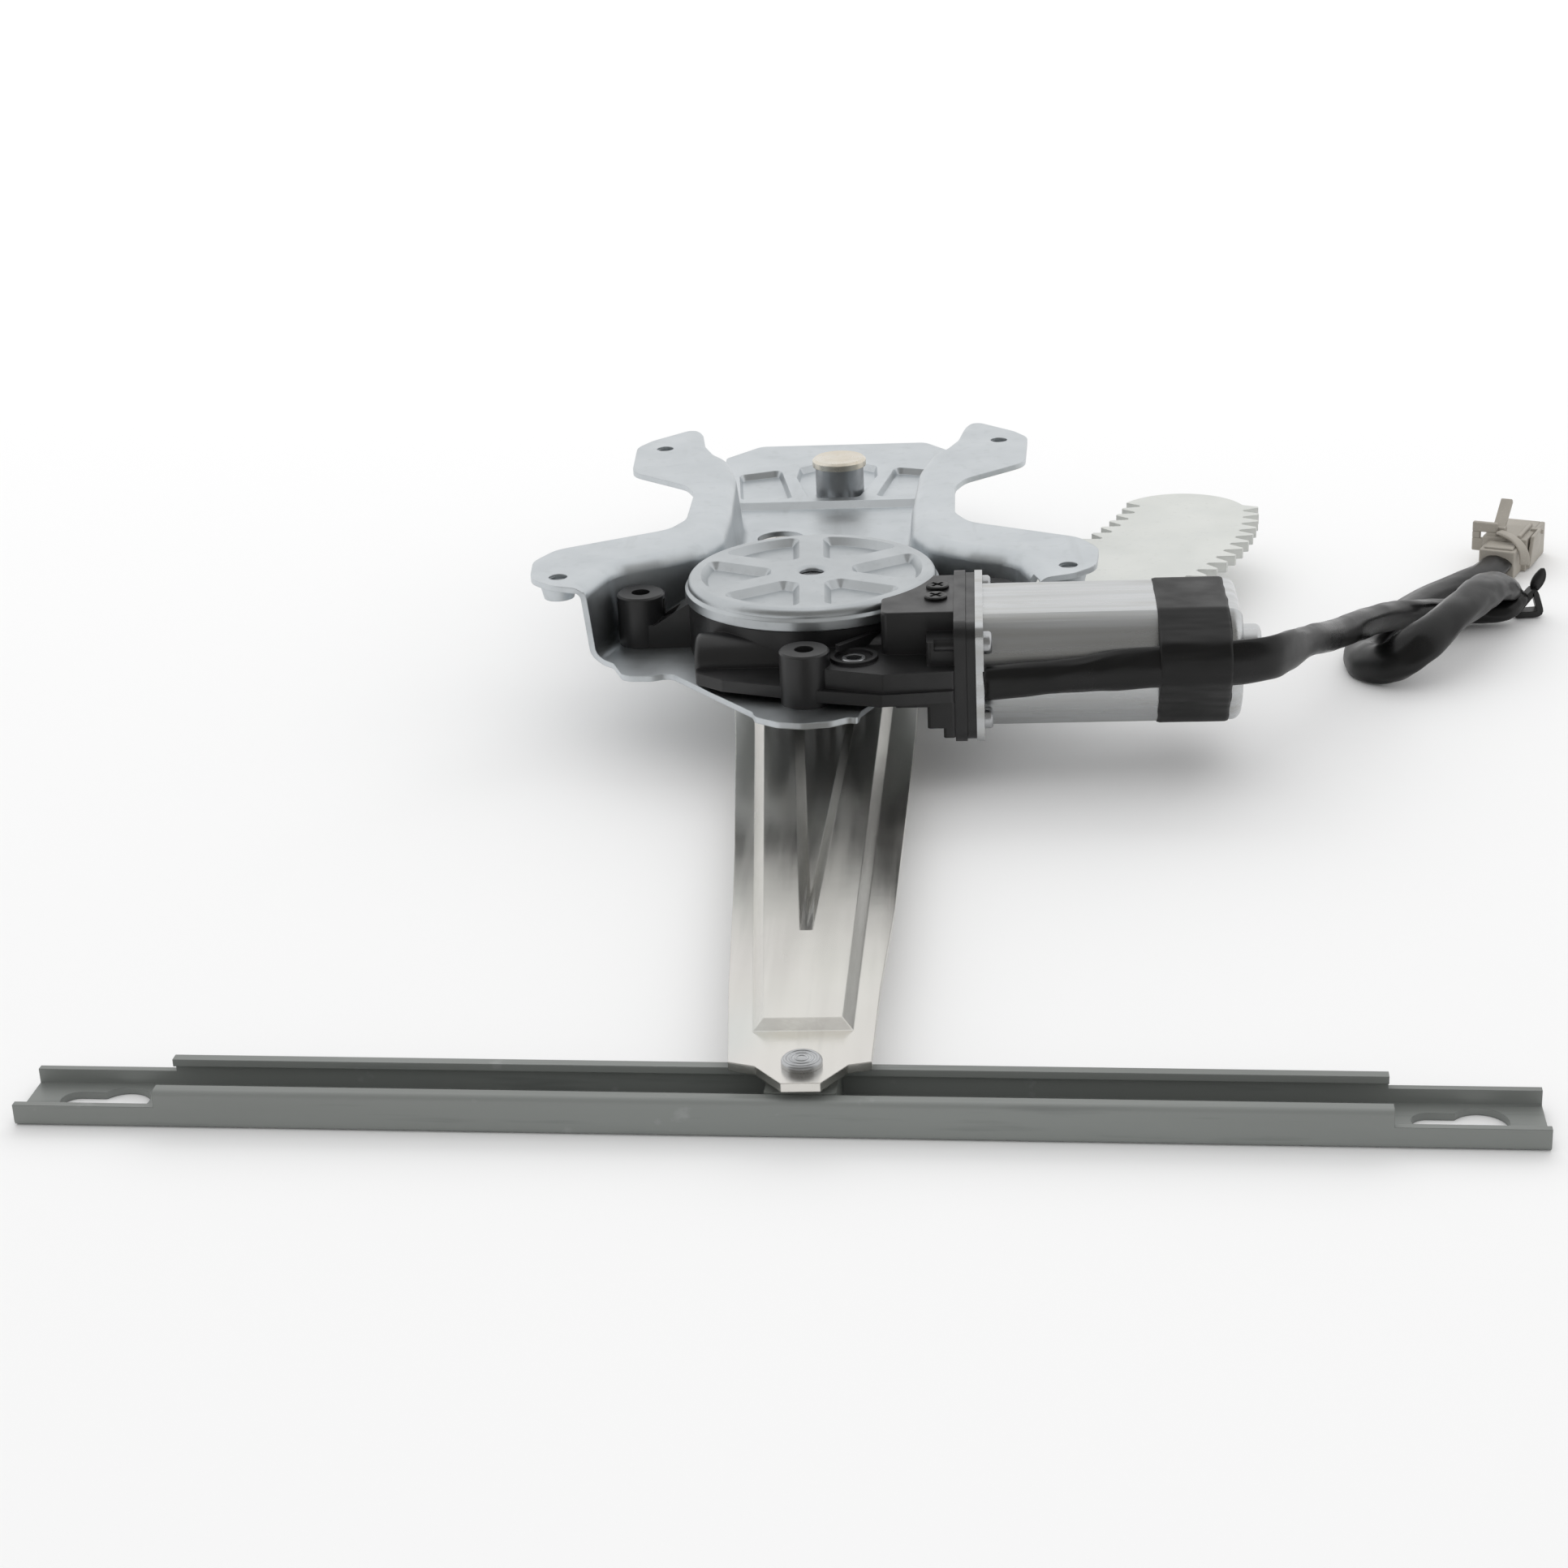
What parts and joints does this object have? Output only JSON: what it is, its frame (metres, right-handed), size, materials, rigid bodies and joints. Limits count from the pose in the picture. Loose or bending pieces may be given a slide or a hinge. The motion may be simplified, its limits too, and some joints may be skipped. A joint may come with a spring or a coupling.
{
  "type": "window regulator",
  "caption": "Single-arm powered window regulator: pressed base plate, geared motor, toothed sector, lift arm and a guide block that slides in a keyholed glass channel.",
  "frame": {"origin": "midway between the two lower threaded ears, on their upper face, which is also the axis of the output pinion", "axes": "+Z out of the open side of the basin, +X along the motor towards its closed end, +Y from the gear unit to the pivot"},
  "size_m": [0.3769, 0.4289, 0.0454],
  "materials": {
    "plate_zinc": "matte zinc plating",
    "arm_zinc": "bright zinc plating",
    "sector_steel": "dull warm coating",
    "channel_steel": "plain rolled steel",
    "pin_gold": "yellow passivated zinc",
    "bush_steel": "turned steel",
    "pin_steel": "zinc plated",
    "can_zinc": "satin zinc plating",
    "housing_black": "glass-filled nylon",
    "plug_taupe": "moulded",
    "clip_black": "moulded",
    "tape_black": "cloth tape",
    "sleeve_black": "taped sleeve",
    "nylon_white": "moulded nylon",
    "damper_rubber": "moulded",
    "carbon": "pressed carbon",
    "ferrite": "pressed and ground",
    "bronze": "sintered",
    "copper": "wound and turned",
    "core_iron": "stacked sheet"
  },
  "bodies": {
    "base": {"base_plate": "plate_zinc", "pivot_bush": "bush_steel", "gear_housing": "housing_black", "housing_cover": "plate_zinc", "wheel_axle": "pin_steel", "brush_plate": "housing_black", "brushes": "carbon", "ledge_insert": "pin_steel", "motor_can": "can_zinc", "magnets": "ferrite", "end_bearing": "bronze", "shaft_bearing": "bronze", "yoke_screws": "pin_steel", "block_screws": "pin_steel", "mounting_screws": "pin_steel", "tape_band": "tape_black", "harness": "sleeve_black", "plug_housing": "plug_taupe", "plug_terminals": "bronze", "harness_clip": "clip_black"},
    "armature": {"armature_shaft": "pin_steel", "armature_core": "core_iron", "armature_windings": "copper", "commutator": "copper"},
    "drive": {"worm_wheel": "nylon_white", "rubber_damper": "damper_rubber", "drive_plate": "pin_steel", "output_pinion": "pin_steel"},
    "arm": {"lift_arm": "arm_zinc", "sector_gear": "sector_steel", "sector_rivets": "pin_steel", "pivot_pin": "pin_gold", "pivot_washer": "bush_steel", "guide_stud": "pin_steel"},
    "guide": {"guide_block": "nylon_white"},
    "channel": {"glass_channel": "channel_steel"}
  },
  "joints": [
    {"name": "armature_spin", "type": "hinge", "parent": "base", "child": "armature", "pos_m": [0, -0.0263, -0.015], "axis": [1, 0, 0], "range_deg": [-43894, 2042]},
    {"name": "arm_swing", "type": "hinge", "parent": "base", "child": "arm", "pos_m": [0.0015, 0.13859, 0], "axis": [0, 0, 1], "range_deg": [-86.5, 4.5]},
    {"name": "pinion_spin", "type": "hinge", "parent": "base", "child": "drive", "pos_m": [0, 0, 0], "axis": [0, 0, 1], "range_deg": [-50, 1005]},
    {"name": "guide_swivel", "type": "hinge", "parent": "arm", "child": "guide", "pos_m": [0.00762, -0.22296, 0], "axis": [0, 0, 1], "range_deg": [-90, 90]},
    {"name": "channel_slide", "type": "slide", "parent": "guide", "child": "channel", "axis": [0.9984, -0.0558, 0], "range_m": [-0.1, 0.1]}
  ],
  "couplings": [
    {"joint": "arm_swing", "follows": "armature_spin", "ratio": 0.0019592},
    {"joint": "pinion_spin", "follows": "armature_spin", "ratio": -0.022727}
  ]
}
